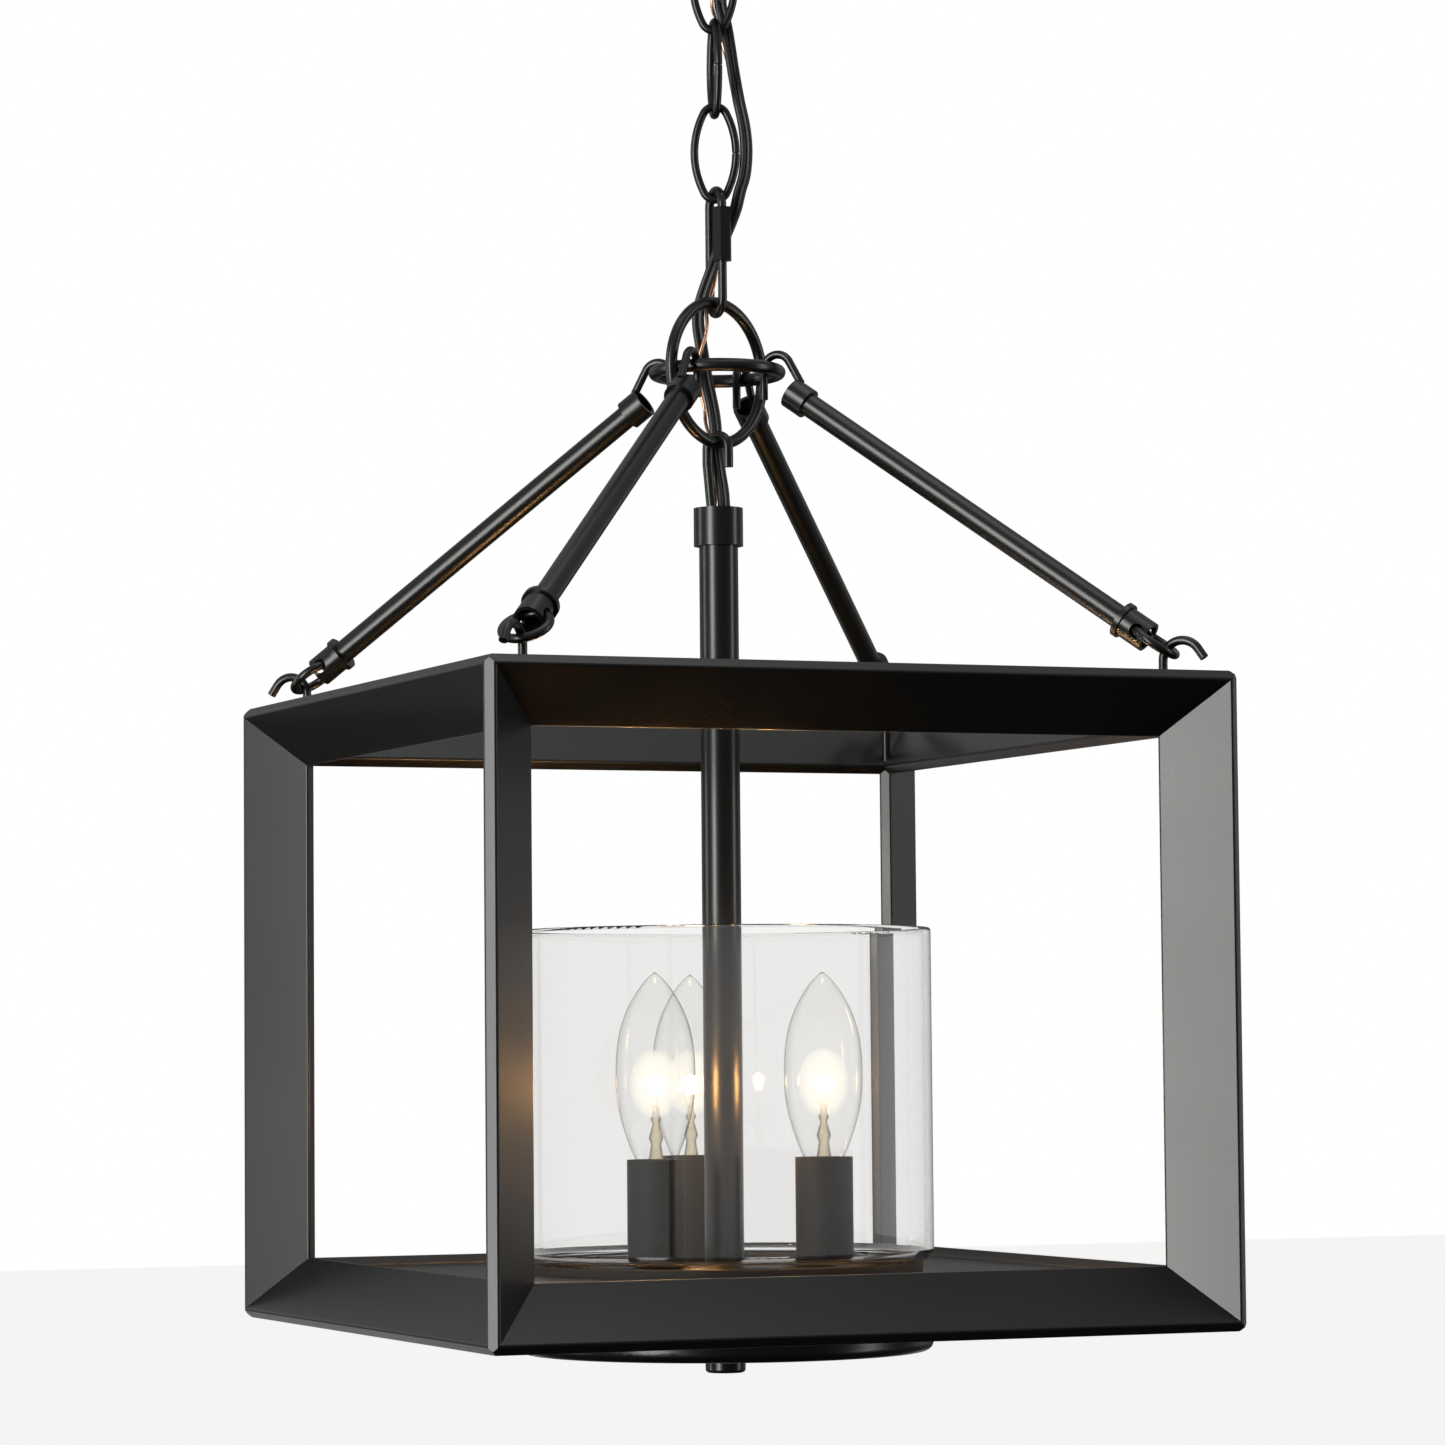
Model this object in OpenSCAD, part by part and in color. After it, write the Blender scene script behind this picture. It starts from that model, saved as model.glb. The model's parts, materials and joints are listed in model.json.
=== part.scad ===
// Caged hanging lantern: a square cage of flat bar under four slanting rods, two
// linked rings, a screw-closed link and a chain below a round ceiling canopy. A glass
// cylinder round three candle lamps stands on its floor. Millimetres, +Z up, and the
// origin is in the ceiling plane, at the middle of the mounting strap.

/* [Cage] */
// Outer width and depth of the cage
cage_w = 312; // [300:1:330]
// Outer height of the cage
cage_h = 257; // [250:1:270]
// Width of the flat bar
bar_w = 31; // [26:0.5:34]
// Thickness of the flat bar
bar_t = 5.6; // [4:0.1:8]
// Thickness of the square floor plate
plate_t = 2; // [1.5:0.5:3]

/* [Rods and rings] */
// Height of the rings' centre over the cage's centre
ring_rise = 258; // [255:1:262]
// Outer diameter of the upright hanging ring
ring_d = 62.4; // [60:0.2:66]
// Wire of the hanging ring
ring_wire = 4.8; // [4.6:0.1:5.2]
// Outer diameter of the level spreader ring
spreader_d = 56; // [54:0.5:58]
// Wire of the spreader ring
spreader_wire = 5.4; // [5:0.1:5.6]
// Diameter of the four rods
rod_d = 9.5; // [8:0.1:10]
// Outer diameter of the cups on the rods' ends
cup_d = 12.6; // [12:0.1:14]
// Wire of the hooks and of the rods' foot rings
hook_wire = 3.6; // [3.2:0.1:3.8]

/* [Chain] */
// Outer length of a chain link
link_l = 41.8; // [41:0.1:43]
// Outer width of a chain link
link_w = 20.3; // [20:0.1:22]
// Wire of a chain link
link_wire = 3.3; // [3:0.1:3.5]
// Outer length of the quick link
quick_l = 54.4; // [53:0.1:56]
// Outer width of the quick link
quick_w = 17.1; // [16.5:0.1:18]
// Wire of the quick link
quick_wire = 3.7; // [3.4:0.1:3.9]
// Clear gap where one link bears on the next
link_gap = 0.2; // [0.1:0.05:0.3]

/* [Stem and lamps] */
// Diameter of the centre stem
stem_d = 15.9; // [14:0.1:16.5]
// Diameter of the coupling on the stem
coupling_d = 20.1; // [20:0.1:22]
// Height of the coupling
coupling_h = 15.5; // [14:0.5:18]
// Radius of the circle that the lamps stand on
lamp_circle_r = 41; // [38:0.5:45]
// Outer diameter of a candle cover
cover_d = 23.2; // [22.5:0.1:24]
// Height of a candle cover
cover_h = 45.4; // [44:0.1:48]
// Widest diameter of a bulb
bulb_d = 31.6; // [28:0.1:33]
// Height of a bulb's tip over its candle cover
bulb_rise = 74.5; // [70:0.5:78]

/* [Glass and base] */
// Outer diameter of the glass cylinder
glass_d = 169; // [160:1:172]
// Height of the glass cylinder
glass_h = 134; // [120:1:150]
// Wall of the glass cylinder
glass_t = 2.6; // [2:0.1:3.5]
// Diameter of the round pan under the floor
pan_d = 168; // [160:1:172]
// Depth of the pan
pan_h = 30.4; // [28:0.2:34]
// Diameter of the finial
finial_d = 16.2; // [15:0.1:20]

/* [Canopy] */
// Diameter of the ceiling canopy
canopy_d = 127; // [120:1:140]
// Depth of the canopy
canopy_h = 24; // [22:1:30]
// Spacing of the strap's two screw holes
strap_holes = 70; // [68:1:89]

/* [Hidden] */
$fn = 48;

// Turn of each hanging piece's own plane about Z
chain_turn = -22;
link_turns = [-22, 79, -22];
loop_turn = 68;
quick_turn = 90;
ring_turn = 28;
hook_turn = -62;
lamp_turns = [-33, 87, 207];

// Heights of the chain, from the ceiling down
strap_t = 2;
loop_r = 10.3;
loop_wire = 4.4;
stud_d = 25.4;
stud_top = -12;
stud_h = 20;
boss_d = 12;
boss_h = 7;
collar_h = 7;
loop_z = -45.9;
bore_d = 8;
nipple_d = 9.5;
link_pitch = link_l - 2 * link_wire - link_gap;
loop_bar_z = loop_z - loop_r;
link_1_bar_z = loop_bar_z + (loop_wire + link_wire) / 2 + link_gap - (link_l - link_wire);
link_2_bar_z = link_1_bar_z + link_wire + link_gap - (link_l - link_wire);
link_3_bar_z = link_2_bar_z + link_wire + link_gap - (link_l - link_wire);
quick_bar_z = link_3_bar_z + (link_wire + quick_wire) / 2 + link_gap - (quick_l - quick_wire);
ring_r = (ring_d - ring_wire) / 2;
ring_z = quick_bar_z + (quick_wire + ring_wire) / 2 + link_gap - ring_r;
cage_z = ring_z - ring_rise;

// The chain links' oval: two tight end arcs and two long side arcs
end_r = 5.2;
half_l = (link_l - link_wire) / 2;
half_w = (link_w - link_wire) / 2;
side_r = (half_w ^ 2 + (half_l - end_r) ^ 2 - end_r ^ 2) / (2 * (half_w - end_r));
side_a = atan2(half_l - end_r, side_r - half_w);
link_slit = 0.5;

// Where two lengths of wire join, the thinner runs a little way into the other
lap = 0.25;
slip = 0.06;

// The quick link's open mouth and the hexagon sleeve that closes it
quick_arm = (quick_w - quick_wire) / 2;
mouth = [6, 15];
sleeve_z = [-4.5, 17.5];
sleeve_af = 7;
sleeve_clearance = 0.05;
quick_z = quick_bar_z + (quick_l - quick_wire) / 2;

// Metal left under the groove pressed in the hanging ring, where the stem's hook bears
seat_t = 3;

// Cage profile: the bar stands on its edge at 45 degrees, its nose near the corner
half = cage_w / 2;
half_h = cage_h / 2;
nose = 4;
fillet = 1;
mitre = 60;
bar_start = nose / sqrt(2);
bar_end = bar_start + bar_w;
inner_edge = (bar_end + bar_t / 2 - 2 * fillet) / sqrt(2) + fillet;
plate_top = -half_h + (bar_end - bar_t / 2) / sqrt(2) + 0.16;

// Corner hooks, in each corner's diagonal plane: radius and height over the cage's centre
hook_r = 7.8;
hook_c = [196.4, half_h + 4.4];
hook_foot = half_h - 19.6;
hook_open = 35;
hook_tip = 4.5;

// A rod's axis: from the middle of its top cup's mouth to its foot ring's bearing point
rod_start = [32.5, ring_rise - 10];
rod_end = [193.1, half_h + 6.6];
rod_tilt = atan2(rod_start[1] - rod_end[1], rod_end[0] - rod_start[0]);
rod_l = norm(rod_end - rod_start);
foot_ring_r = 9.2;
cup_l = 9;
cup_bore = 9.8;
foot_mouth = rod_l - 12.6;
foot_l = 13.6;
flange_d = 14.8;
flange_t = 2.2;
cross_hole = 5.9;
top_hook_r = 5.9;
top_hook_c = [26.5, ring_rise];
top_hook_a = 29;
top_hook_wire = 3.4;

// Stem hook and stem, over the cage's centre
seat_z = ring_rise - ring_r - ring_wire / 2 + seat_t;
stem_hook_wire = 4.3;
stem_hook_r = 5.4;
stem_hook_z = seat_z + link_gap + stem_hook_wire / 2 - stem_hook_r;
coupling_top = 202.4;
coupling_bottom = coupling_top - coupling_h;
shank_foot = -3.2;
stem_wall = 1.2;
cord_hole = [2.4, 4.5];
wire_hole = [-1.4, 6.6];

// Base, glass and lamps, over the cage's centre
plate_bottom = plate_top - plate_t;
gasket_t = 3.4;
gasket_r = [glass_d / 2 - 9, glass_d / 2 - 4.5];
foot_round = 5;
pan_t = 1.2;
pan_bottom = plate_bottom - pan_h;
finial_h = 8.6;
nut_af = 14;
nut_h = 4;
cover_wall = 1.1;
cover_top = plate_top + cover_h;
socket_d = 19;
socket_top = cover_top - 7;
socket_bottom = plate_top + 6;
base_d = 11.9;
base_l = 17;
base_gap = 0.3;
glass_neck = 15.6;
bulb_wall = 0.8;
bulb_mid = cover_top + 31;
bulb_tip = cover_top + bulb_rise;

// Routes of the cord and the bare wire, turned with the chain: [across, away, height]
cord_d = 4.8;
wire_d = 1.6;
tube_sides = 8;
cord_route = [
    [1, 0, -1], [1, 0, -14], [1, 0, -30], [1.5, 1.2, -40], [2.9, 5.3, -48],
    [5.1, 6.6, -55], [4.7, 7, -65], [3.7, 6.8, -72], [2.7, 6.9, -78], [4.8, 5.8, -87],
    [6.2, 3.4, -96], [7.6, 2.2, -106], [9.8, 1.5, -119], [12, 1.5, -130],
    [12.8, 1.5, -140], [12, 1.5, -150], [10, 1.2, -157], [8, 1, -165], [4.5, 0.5, -174],
    [1, 0.3, -182], [-2, 0, -190], [-4.3, 0.7, -196], [-6, 1.3, -201], [-7.3, 1.5, -206],
    [-7.5, 2.5, -212], [-6.4, 3.6, -220], [-4.6, 4, -232], [-3, 5, -240], [-1.6, 6, -247],
    [-0.8, 7, -254], [-0.6, 7.2, -262], [0.8, 6.4, -272], [2, 5, -280], [2.4, 4.5, -287],
    [2.4, 4.5, -293],
];
wire_route = [
    [-2.5, 0, -1], [-2.5, 0, -20], [-2.5, 0, -34], [-1.4, -1, -42], [1.4, 0.4, -47],
    [3.3, 2.1, -51], [5, 3.2, -55], [4.6, 3.6, -64], [1.9, 3.5, -71], [-0.8, 5.6, -78],
    [1.2, 7.6, -86], [3.5, 6.7, -95], [6.4, 5.7, -106], [9.6, 5, -119], [12, 5, -130],
    [12.8, 5, -140], [11.6, 5, -150], [9, 4.7, -157], [6.2, 4.1, -165], [3, 3.9, -174],
    [1.4, 3.9, -182], [0.4, 3.4, -188], [-0.6, 2.9, -194], [-2.3, 3.2, -200],
    [-4, 2.5, -206], [-3.9, 0.9, -212], [-4.9, 0.1, -218], [-6.8, -0.1, -224],
    [-7.6, 1.2, -232], [-6.5, 2.9, -240], [-5.1, 4.4, -247], [-4.9, 7, -251],
    [-3.8, 9.2, -256], [-3, 10, -263], [-1.4, 9.6, -272], [-0.8, 8, -280],
    [-1.4, 6.6, -287], [-1.4, 6.6, -293],
];

black = "#2b2b2d";
brass = "#b8964e";
copper = "#b87345";
clear = [0.85, 0.9, 0.92, 0.35];

// A ring's worth of points round the route's point i, square to the route there
function tube_ring(route, i, r) =
    let (
        before = route[max(i - 1, 0)],
        after = route[min(i + 1, len(route) - 1)],
        along = (after - before) / norm(after - before),
        side = cross(along, [0, 1, 0]) / norm(cross(along, [0, 1, 0])),
        up = cross(side, along)
    )
    [for (k = [0 : tube_sides - 1])
        let (a = 360 * k / tube_sides) route[i] + r * (side * cos(a) + up * sin(a))];

module tube_along(route, d) {
    points = [for (i = [0 : len(route) - 1]) each tube_ring(route, i, d / 2)];
    last = (len(route) - 1) * tube_sides;
    sides = [for (i = [0 : len(route) - 2], k = [0 : tube_sides - 1])
        let (j = (k + 1) % tube_sides, a = i * tube_sides, b = a + tube_sides)
        [a + k, a + j, b + j, b + k]];
    ends = [
        [for (k = [tube_sides - 1 : -1 : 0]) k],
        [for (k = [0 : tube_sides - 1]) last + k],
    ];
    polyhedron(points, concat(sides, ends), convexity = 6);
}

// Round wire bent to an arc in the XZ plane, from angle a0 to a1
module arc_wire(r, d, a0, a1) {
    rotate([90, 0, 0])
        rotate([0, 0, a0])
            rotate_extrude(angle = a1 - a0)
                translate([r, 0])
                    circle(d = d);
}

// Straight round wire in the XZ plane, from point p to point q, lapping what it joins
module bar_wire(p, q, d) {
    v = q - p;
    translate([p[0], 0, p[1]])
        rotate([0, atan2(v[0], v[1]), 0])
            translate([0, 0, -lap])
                cylinder(d = d - slip, h = norm(v) + 2 * lap);
}

module ring_wire_loop(r, d) {
    rotate_extrude()
        translate([r, 0])
            circle(d = d);
}

module hexagon(af, h) {
    cylinder(d = af / cos(30), h = h, $fn = 6);
}

// ---- Ceiling ----

module crossbar() {
    color("silver")
        difference() {
            translate([-48, -9, -strap_t])
                cube([96, 18, strap_t]);
            translate([0, 0, -strap_t - 1])
                cylinder(d = nipple_d, h = strap_t + 2);
            for (side = [-1, 1])
                translate([side * strap_holes / 2, 0, -strap_t - 1])
                    cylinder(d = 4.8, h = strap_t + 2);
        }
}

module ground_screw() {
    color("green")
        translate([20, 0, -strap_t - 3.2])
            union() {
                hexagon(7, 3.2);
                translate([0, 0, -1.6])
                    cylinder(d = 5.4, h = 1.6);
            }
}

module canopy_nipple() {
    color("silver")
        difference() {
            translate([0, 0, stud_top])
                cylinder(d = nipple_d, h = -stud_top);
            translate([0, 0, stud_top - 1])
                cylinder(d = bore_d - 0.4, h = -stud_top + 2);
        }
}

module nipple_nut() {
    color("silver")
        difference() {
            translate([0, 0, -strap_t - 3])
                hexagon(nut_af, 3);
            translate([0, 0, -strap_t - 4])
                cylinder(d = nipple_d, h = 5);
        }
}

module canopy_loop() {
    boss_top = stud_top - stud_h;
    color(black)
        difference() {
            union() {
                translate([0, 0, boss_top])
                    cylinder(d = stud_d, h = stud_h);
                translate([0, 0, boss_top - boss_h])
                    cylinder(d = boss_d, h = boss_h);
                translate([0, 0, loop_z])
                    rotate([90, 0, loop_turn])
                        ring_wire_loop(loop_r, loop_wire);
            }
            translate([0, 0, boss_top - boss_h - 1])
                cylinder(d = bore_d, h = stud_h + boss_h + 2);
        }
}

module loop_collar() {
    color(black)
        difference() {
            translate([0, 0, -canopy_h - collar_h])
                cylinder(d = stud_d + 7, h = collar_h);
            translate([0, 0, -canopy_h - collar_h - 1])
                cylinder(d = stud_d + 0.1, h = collar_h + 2);
        }
}

// Shallow drawn dish, open towards the ceiling, with rounded shoulders
module canopy() {
    r = canopy_d / 2;
    shoulder = 8;
    wall = 1.2;
    color(black)
        rotate_extrude()
            difference() {
                union() {
                    translate([0, -canopy_h])
                        square([r - shoulder, canopy_h]);
                    translate([0, -canopy_h + shoulder])
                        square([r, canopy_h - shoulder]);
                    translate([r - shoulder, -canopy_h + shoulder])
                        circle(r = shoulder);
                }
                translate([0, -canopy_h + wall])
                    square([r - shoulder, canopy_h]);
                translate([0, -canopy_h + shoulder])
                    square([r - wall, canopy_h]);
                translate([r - shoulder, -canopy_h + shoulder])
                    circle(r = shoulder - wall);
                translate([0, -canopy_h - 1])
                    square([stud_d / 2 + 0.4, 4]);
                translate([-2 * r, -canopy_h - 1])
                    square([2 * r, canopy_h + 2]);
            }
}

module lamp_cord() {
    color("#1d1d1f")
        rotate([0, 0, chain_turn])
            tube_along(cord_route, cord_d);
}

module ground_wire() {
    color(copper)
        rotate([0, 0, chain_turn])
            tube_along(wire_route, wire_d);
}

// ---- Chain ----

// Oval link standing in the XZ plane, its bottom bar's centre at the origin
module oval_link() {
    translate([0, 0, half_l])
        difference() {
            union() {
                for (flip = [0, 180])
                    rotate([0, flip, 0]) {
                        translate([0, 0, half_l - end_r])
                            arc_wire(end_r, link_wire, side_a, 180 - side_a);
                        translate([half_w - side_r, 0, 0])
                            arc_wire(side_r, link_wire - slip, -side_a - 0.4, side_a + 0.4);
                    }
            }
            translate([half_w - link_wire, -link_wire, -link_slit / 2])
                cube([2 * link_wire, 2 * link_wire, link_slit]);
        }
}

module chain_link_1() {
    color(black)
        translate([0, 0, link_1_bar_z])
            rotate([0, 0, link_turns[0]])
                oval_link();
}

module chain_link_2() {
    color(black)
        translate([0, 0, link_2_bar_z])
            rotate([0, 0, link_turns[1] + 180])
                oval_link();
}

module chain_link_3() {
    color(black)
        translate([0, 0, link_3_bar_z])
            rotate([0, 0, link_turns[2]])
                oval_link();
}

// Long link with straight arms; the near arm has the open mouth
module quick_link() {
    bend_z = (quick_l - quick_wire) / 2 - quick_arm;
    color(black)
        translate([0, 0, quick_z])
            rotate([0, 0, quick_turn + 180]) {
                translate([0, 0, bend_z])
                    arc_wire(quick_arm, quick_wire, 0, 180);
                translate([0, 0, -bend_z])
                    arc_wire(quick_arm, quick_wire, 180, 360);
                bar_wire([-quick_arm, -bend_z], [-quick_arm, bend_z], quick_wire);
                bar_wire([quick_arm, -bend_z], [quick_arm, mouth[0]], quick_wire);
                bar_wire([quick_arm, mouth[1]], [quick_arm, bend_z], quick_wire);
            }
}

module quick_link_nut() {
    color(black)
        translate([0, 0, quick_z])
            rotate([0, 0, quick_turn + 180])
                translate([quick_arm, 0, sleeve_z[0]])
                    difference() {
                        rotate([0, 0, 30])
                            hexagon(sleeve_af, sleeve_z[1] - sleeve_z[0]);
                        translate([0, 0, -1])
                            cylinder(
                                d = quick_wire + 2 * sleeve_clearance,
                                h = sleeve_z[1] - sleeve_z[0] + 2
                            );
                    }
}

// ---- Rings, rods and hooks ----

module hanging_ring() {
    color(black)
        translate([0, 0, ring_z])
            rotate([0, 0, ring_turn])
                difference() {
                    rotate([90, 0, 0])
                        ring_wire_loop(ring_r, ring_wire);
                    rotate([0, 0, hook_turn - ring_turn])
                        translate([0, 0, cage_z + stem_hook_z - ring_z])
                            arc_wire(stem_hook_r, stem_hook_wire + 2 * link_gap, 0, 180);
                }
}

// Level ring, cut to sit inside the hanging ring's wire where they are welded
module spreader_ring() {
    color(black)
        translate([0, 0, ring_z])
            difference() {
                ring_wire_loop((spreader_d - spreader_wire) / 2, spreader_wire);
                rotate([90, 0, ring_turn])
                    ring_wire_loop(ring_r, ring_wire);
            }
}

// Corner k's diagonal plane: 0 front left, then anticlockwise seen from above
module at_corner(k) {
    translate([0, 0, cage_z])
        rotate([0, 0, 225 + 90 * k])
            children();
}

// Frame of a rod: origin in its top cup's mouth, +X down along the rod
module along_rod(k) {
    at_corner(k)
        translate([rod_start[0], 0, rod_start[1]])
            rotate([0, rod_tilt, 0])
                children();
}

module rod(k) {
    color(black)
        along_rod(k)
            translate([cup_l - 2.5, 0, 0])
                rotate([0, 90, 0])
                    cylinder(d = rod_d, h = foot_mouth - foot_l - cup_l + 5.5);
}

module rod_front_left() { rod(0); }
module rod_front_right() { rod(1); }
module rod_back_right() { rod(2); }
module rod_back_left() { rod(3); }

// Open cup with a crook that hangs over the spreader ring
module rod_top_cups() {
    start = top_hook_c + top_hook_r * [cos(top_hook_a), sin(top_hook_a)];
    color(black)
        for (k = [0 : 3]) {
            along_rod(k)
                rotate([0, 90, 0])
                    difference() {
                        cylinder(d = cup_d, h = cup_l);
                        translate([0, 0, -1])
                            cylinder(d = cup_bore, h = cup_l - 1.5);
                        cylinder(d = rod_d, h = cup_l + 1);
                    }
            at_corner(k)
                difference() {
                    union() {
                        translate([top_hook_c[0], 0, top_hook_c[1]])
                            arc_wire(top_hook_r, top_hook_wire, top_hook_a, 180);
                        bar_wire(
                            top_hook_c - [top_hook_r, 12],
                            top_hook_c - [top_hook_r, 0],
                            top_hook_wire
                        );
                        bar_wire(
                            start + 10.4 * [sin(top_hook_a), -cos(top_hook_a)],
                            start,
                            top_hook_wire
                        );
                    }
                    translate([rod_start[0], 0, rod_start[1]])
                        rotate([0, rod_tilt + 90, 0])
                            cylinder(d = cup_bore, h = 6);
                }
        }
}

// Flanged cup with cross holes for its ring
module rod_foot_cups() {
    color(black)
        for (k = [0 : 3])
            along_rod(k)
                translate([foot_mouth - foot_l, 0, 0])
                    difference() {
                        rotate([0, 90, 0]) {
                            cylinder(d = flange_d, h = flange_t);
                            cylinder(d = cup_d, h = foot_l);
                        }
                        rotate([0, 90, 0]) {
                            translate([0, 0, -1])
                                cylinder(d = rod_d, h = 5);
                            translate([0, 0, 3])
                                cylinder(d = cup_bore, h = foot_l);
                        }
                        translate([foot_l - 3.75, cup_d, 0])
                            rotate([90, 0, 0])
                                cylinder(d = cross_hole, h = 2 * cup_d);
                    }
}

module rod_foot_rings() {
    color(black)
        for (k = [0 : 3])
            along_rod(k)
                translate([rod_l - foot_ring_r, 0, 0])
                    ring_wire_loop(foot_ring_r, hook_wire);
}

// Open hooks welded in the corner mitres
module corner_hooks() {
    color(black)
        for (k = [0 : 3])
            at_corner(k) {
                tip = hook_c + hook_r * [cos(hook_open), sin(hook_open)];
                foot = hook_c[0] - hook_r;
                translate([hook_c[0], 0, hook_c[1]])
                    arc_wire(hook_r, hook_wire, hook_open, 180);
                bar_wire([foot, hook_foot], [foot, hook_c[1]], hook_wire);
                bar_wire(
                    tip + hook_tip * [sin(hook_open), -cos(hook_open)],
                    tip,
                    hook_wire
                );
            }
}

// ---- Cage ----

// The bar's rounded section, its nose at the corner point [-w, w] of a square
module bar_section(w, h) {
    translate([-w, h])
        rotate(-45)
            union() {
                translate([bar_start + fillet, -bar_t / 2])
                    square([bar_w - 2 * fillet, bar_t]);
                translate([bar_start, -bar_t / 2 + fillet])
                    square([bar_w, bar_t - 2 * fillet]);
                for (u = [bar_start + fillet, bar_end - fillet], s = [-1, 1])
                    translate([u, s * (bar_t / 2 - fillet)])
                        circle(r = fillet);
            }
}

// Front rail at the top, mitred to the rails beside it and to the posts
module rail() {
    intersection() {
        translate([-half, 0, 0])
            rotate([90, 0, 90])
                linear_extrude(cage_w)
                    bar_section(half, half_h);
        translate([0, 0, -half_h])
            linear_extrude(cage_h)
                polygon([[0, 0], [half, -half], [-half, -half]]);
        translate([0, 1, 0])
            rotate([90, 0, 0])
                linear_extrude(half + 1)
                    polygon([
                        [-half, half_h], [half, half_h],
                        [half - mitre, half_h - mitre], [mitre - half, half_h - mitre],
                    ]);
    }
}

module top_rail(k) {
    color(black)
        translate([0, 0, cage_z])
            rotate([0, 0, 90 * k])
                rail();
}

module bottom_rail(k) {
    color(black)
        translate([0, 0, cage_z])
            rotate([0, 0, 90 * k])
                mirror([0, 0, 1])
                    rail();
}

module top_rail_front() { top_rail(0); }
module top_rail_right() { top_rail(1); }
module top_rail_back() { top_rail(2); }
module top_rail_left() { top_rail(3); }
module bottom_rail_front() { bottom_rail(0); }
module bottom_rail_right() { bottom_rail(1); }
module bottom_rail_back() { bottom_rail(2); }
module bottom_rail_left() { bottom_rail(3); }

// Upright at corner k, mitred to the rails at both ends
module post(k) {
    trapezoid = [
        [-half, -half_h], [-half, half_h],
        [mitre - half, half_h - mitre], [mitre - half, mitre - half_h],
    ];
    color(black)
        translate([0, 0, cage_z])
            rotate([0, 0, 90 * k])
                intersection() {
                    translate([0, 0, -half_h])
                        linear_extrude(cage_h)
                            mirror([0, 1])
                                bar_section(half, half);
                    rotate([90, 0, 0])
                        linear_extrude(half + 1)
                            polygon(trapezoid);
                    rotate([90, 0, 90])
                        mirror([0, 0, 1])
                            linear_extrude(half + 1)
                                polygon(trapezoid);
                }
}

module post_front_left() { post(0); }
module post_front_right() { post(1); }
module post_back_right() { post(2); }
module post_back_left() { post(3); }

module floor_plate() {
    side = cage_w - 2 * inner_edge + 0.1;
    color(black)
        translate([0, 0, cage_z + plate_bottom])
            difference() {
                translate([-side / 2, -side / 2, 0])
                    cube([side, side, plate_t]);
                translate([0, 0, -1])
                    cylinder(d = nipple_d, h = plate_t + 2);
                for (turn = lamp_turns)
                    rotate([0, 0, turn])
                        translate([lamp_circle_r, 0, -1])
                            cylinder(d = nipple_d, h = plate_t + 2);
            }
}

module glass_gasket() {
    color("#161616")
        translate([0, 0, cage_z + plate_top])
            difference() {
                cylinder(r = gasket_r[1], h = gasket_t);
                translate([0, 0, -1])
                    cylinder(r = gasket_r[0], h = gasket_t + 2);
            }
}

// Clear cylinder, open at both ends, its foot rolled inwards
module glass_cylinder() {
    r = glass_d / 2;
    color(clear)
        translate([0, 0, cage_z + plate_top + gasket_t])
            rotate_extrude()
                difference() {
                    union() {
                        translate([r - glass_t, foot_round])
                            square([glass_t, glass_h - foot_round - glass_t / 2]);
                        translate([r - glass_t / 2, glass_h - glass_t / 2])
                            circle(d = glass_t);
                        intersection() {
                            translate([r - foot_round, foot_round])
                                circle(r = foot_round);
                            translate([r - foot_round, 0])
                                square(foot_round);
                        }
                        translate([r - foot_round - 3, 0])
                            square([3, glass_t]);
                    }
                    translate([r - foot_round, foot_round])
                        circle(r = foot_round - glass_t);
                }
}

// ---- Stem ----

module stem_hook() {
    bend = [-stem_hook_r, stem_hook_z - 6];
    color(black)
        translate([0, 0, cage_z])
            rotate([0, 0, hook_turn]) {
                translate([0, 0, stem_hook_z])
                    arc_wire(stem_hook_r, stem_hook_wire, 0, 180);
                bar_wire([stem_hook_r, stem_hook_z - 7.5], [stem_hook_r, stem_hook_z],
                    stem_hook_wire);
                bar_wire(bend, [-stem_hook_r, stem_hook_z], stem_hook_wire);
                translate([bend[0], 0, bend[1]])
                    sphere(d = stem_hook_wire + slip);
                difference() {
                    bar_wire([shank_foot, coupling_top - 2], bend, stem_hook_wire);
                    translate([-10, -10, coupling_top - 8])
                        cube([20, 20, 8]);
                }
            }
}

module stem_coupling() {
    color(black)
        translate([0, 0, cage_z])
            difference() {
                translate([0, 0, coupling_bottom])
                    cylinder(d = coupling_d, h = coupling_h);
                translate([0, 0, coupling_bottom - 1])
                    cylinder(d = stem_d, h = coupling_h - 1.5);
                rotate([0, 0, chain_turn]) {
                    translate([cord_hole[0], cord_hole[1], coupling_top - 4])
                        cylinder(d = cord_d + 0.6, h = 5);
                    translate([wire_hole[0], wire_hole[1], coupling_top - 4])
                        cylinder(d = wire_d + 0.6, h = 5);
                }
            }
}

module stem_tube() {
    stem_top = coupling_top - 9;
    color(black)
        translate([0, 0, cage_z + plate_top])
            difference() {
                cylinder(d = stem_d, h = stem_top - plate_top);
                translate([0, 0, 6])
                    cylinder(d = stem_d - 2 * stem_wall, h = stem_top);
                translate([0, 0, -1])
                    cylinder(d = nipple_d, h = 10);
            }
}

// Threaded tube from the stem's foot, through the floor, to the finial
module centre_nipple() {
    low = pan_bottom - finial_h + 4;
    color("silver")
        translate([0, 0, cage_z + low])
            difference() {
                cylinder(d = nipple_d, h = plate_top + 5.5 - low);
                translate([0, 0, -1])
                    cylinder(d = 6.5, h = plate_top + 8 - low);
            }
}

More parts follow.
